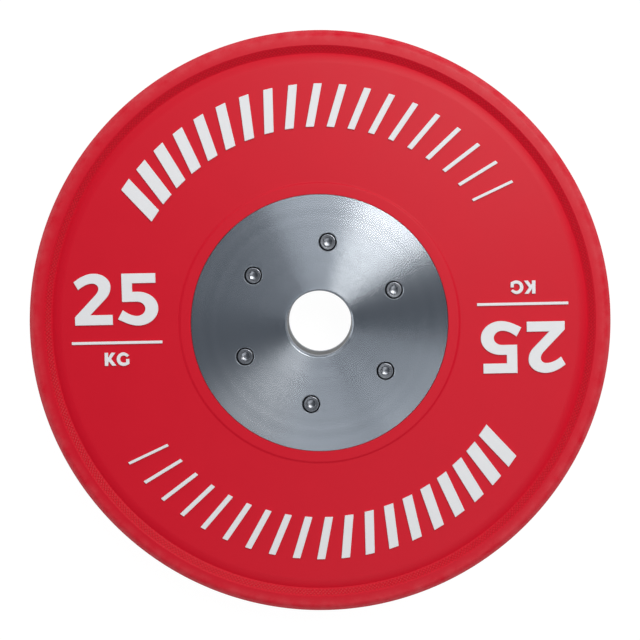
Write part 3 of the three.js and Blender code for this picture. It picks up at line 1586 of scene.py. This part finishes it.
@dataclass
class Studio:
    """The white floor, the soft boxes, the room's light and the camera."""

    floor_radius: float = 3.2
    floor_steps: int = 96
    wall_height: float = 1.0
    floor_gap: float = 0.2 * MM
    floor_glow: float = 0.97
    floor_colour: Colour = (0.92, 0.92, 0.92)
    floor_shadow_colour: Colour = (0.3, 0.3, 0.3)
    room_colour: Colour = (0.93, 1.0, 1.10)
    room_strength: float = 0.18
    lamps: tuple[Lamp, ...] = (
        Lamp("key_high_lamp", 51, 69, 0.50, 0.38, 7.15, WARM),
        Lamp("key_lamp", 56, 54, 0.50, 0.51, 6.85, WARM),
        Lamp("key_right_lamp", 30, 54, 0.57, 0.51, 0.9),
        Lamp("key_low_lamp", 48, 27, 1.1, 0.6, 2.8),
        Lamp("key_left_lamp", 90, 54, 0.57, 0.51, 1.65),
        Lamp("far_high_lamp", 95, 69, 0.53, 0.38, 2.35),
        Lamp("far_low_lamp", 120, 34, 0.80, 0.70, 3.45),
        Lamp("left_low_lamp", 180, 12, 1.46, 0.63, 3.3),
        Lamp("near_lamp", 270, 54, 0.57, 0.51, 1.4),
        Lamp("near_right_lamp", 300, 54, 0.57, 0.51, 0.9),
        Lamp("near_high_lamp", 275, 69, 0.53, 0.38, 0.8),
        Lamp("right_high_lamp", 320, 69, 0.53, 0.38, 1.5),
    )

    camera_place_mm: tuple[float, float, float] = (10.67, 51.36, 1063.39)
    camera_side_tilt: float = -0.584
    camera_up_tilt: float = -2.784
    focal_pixels: float = 1300.25
    image_pixels: float = 640.0
    sensor_width: float = 36.0

    def floor_material(self) -> bpy.types.Material:
        """Makes the floor: white where a camera, a mirror or glass sees it, with a soft shadow.

        Returns:
            The floor's material.
        """
        material = bpy.data.materials.new("studio_floor")
        material.use_nodes = True
        graph = Graph(material.node_tree)
        graph.tree.nodes.remove(graph.tree.nodes["Principled BSDF"])
        output = graph.tree.nodes["Material Output"]
        path = graph.add("LightPath").outputs
        seen = graph.calculate("MAXIMUM", path["Is Camera Ray"], path["Is Glossy Ray"])
        seen = graph.calculate("MAXIMUM", seen, path["Is Transmission Ray"])
        glow = graph.add("Emission", {"Color": (1, 1, 1, 1), "Strength": self.floor_glow})
        shadowed = graph.add("BsdfDiffuse", {"Color": linear(self.floor_shadow_colour)})
        shown = graph.add("AddShader", {0: glow.outputs[0], 1: shadowed.outputs[0]})
        plain = graph.add("BsdfDiffuse", {"Color": linear(self.floor_colour)})
        mixed = graph.add("MixShader", {0: seen, 1: plain.outputs[0], 2: shown.outputs[0]})
        graph.tree.links.new(mixed.outputs[0], output.inputs["Surface"])
        return material

    def floor(self) -> None:
        """Adds the floor with a low wall all round."""
        bpy.ops.mesh.primitive_circle_add(
            vertices=self.floor_steps,
            radius=self.floor_radius,
            fill_type="NGON",
            location=(0, 0, -self.floor_gap),
        )
        floor = bpy.context.object
        floor.name = "studio_floor"
        set_in_place(floor)
        with editing(floor):
            bpy.ops.mesh.select_all(action="SELECT")
            bpy.ops.mesh.select_mode(type="EDGE")
            bpy.ops.mesh.region_to_loop()
            bpy.ops.mesh.extrude_edges_move(
                TRANSFORM_OT_translate={"value": (0, 0, self.wall_height)}
            )
        floor.data.materials.append(self.floor_material())

    def room(self) -> None:
        """Sets the even light of the room, which a camera sees as white."""
        world = bpy.data.worlds.new("studio_room")
        world.use_nodes = True
        graph = Graph(world.node_tree)
        dim = world.node_tree.nodes["Background"]
        dim.inputs["Color"].default_value = (*self.room_colour, 1)
        dim.inputs["Strength"].default_value = self.room_strength
        seen = graph.add("LightPath").outputs["Is Camera Ray"]
        white = graph.add("Background", {"Color": (1, 1, 1, 1), "Strength": 1.0})
        mixed = graph.add("MixShader", {0: seen, 1: dim.outputs[0], 2: white.outputs[0]})
        output = world.node_tree.nodes["World Output"]
        graph.tree.links.new(mixed.outputs[0], output.inputs["Surface"])
        bpy.context.scene.world = world

    def camera(self) -> None:
        """Adds the camera at the photograph's viewing angle."""
        towards = Vector(
            (
                math.tan(math.radians(self.camera_side_tilt)),
                math.tan(math.radians(self.camera_up_tilt)),
                -1,
            )
        ).normalized()
        right = towards.cross(Vector((0, 1, 0))).normalized()
        up = right.cross(towards)
        turn = Matrix((right, up, -towards)).transposed().to_4x4()
        place = Vector(self.camera_place_mm) * MM
        bpy.ops.object.camera_add(location=place)
        camera = bpy.context.object
        camera.name = "studio_camera"
        camera.matrix_world = Matrix.Translation(place) @ turn
        camera.data.sensor_width = self.sensor_width
        camera.data.lens = self.sensor_width * self.focal_pixels / self.image_pixels
        bpy.context.scene.camera = camera

    def build(self) -> None:
        """Sets up the whole studio."""
        self.camera()
        self.floor()
        self.room()
        for lamp in self.lamps:
            lamp.build()
        bpy.context.scene.view_settings.view_transform = "Standard"
        log.info("studio: floor, %d lamps and a camera", len(self.lamps))


def main() -> None:
    """Builds the studio and the plate, piece by piece."""
    logging.basicConfig(level=logging.INFO, format="%(name)s: %(message)s")
    deselect_everything()
    effects = SharedEffects.build()
    Studio().build()
    RubberBody().build(RED_RUBBER.build(effects))
    HubDisc().build(DISC_STEEL.build(effects))
    CapScrews().build(SCREW_STEEL.build(effects))
    BoreSleeve().build(BORE_STEEL.build(effects))
    Markings().build(WHITE_MARKING.build(effects))
    HiddenCore().build(CORE_STEEL.build(effects))


if __name__ == "__main__":
    main()
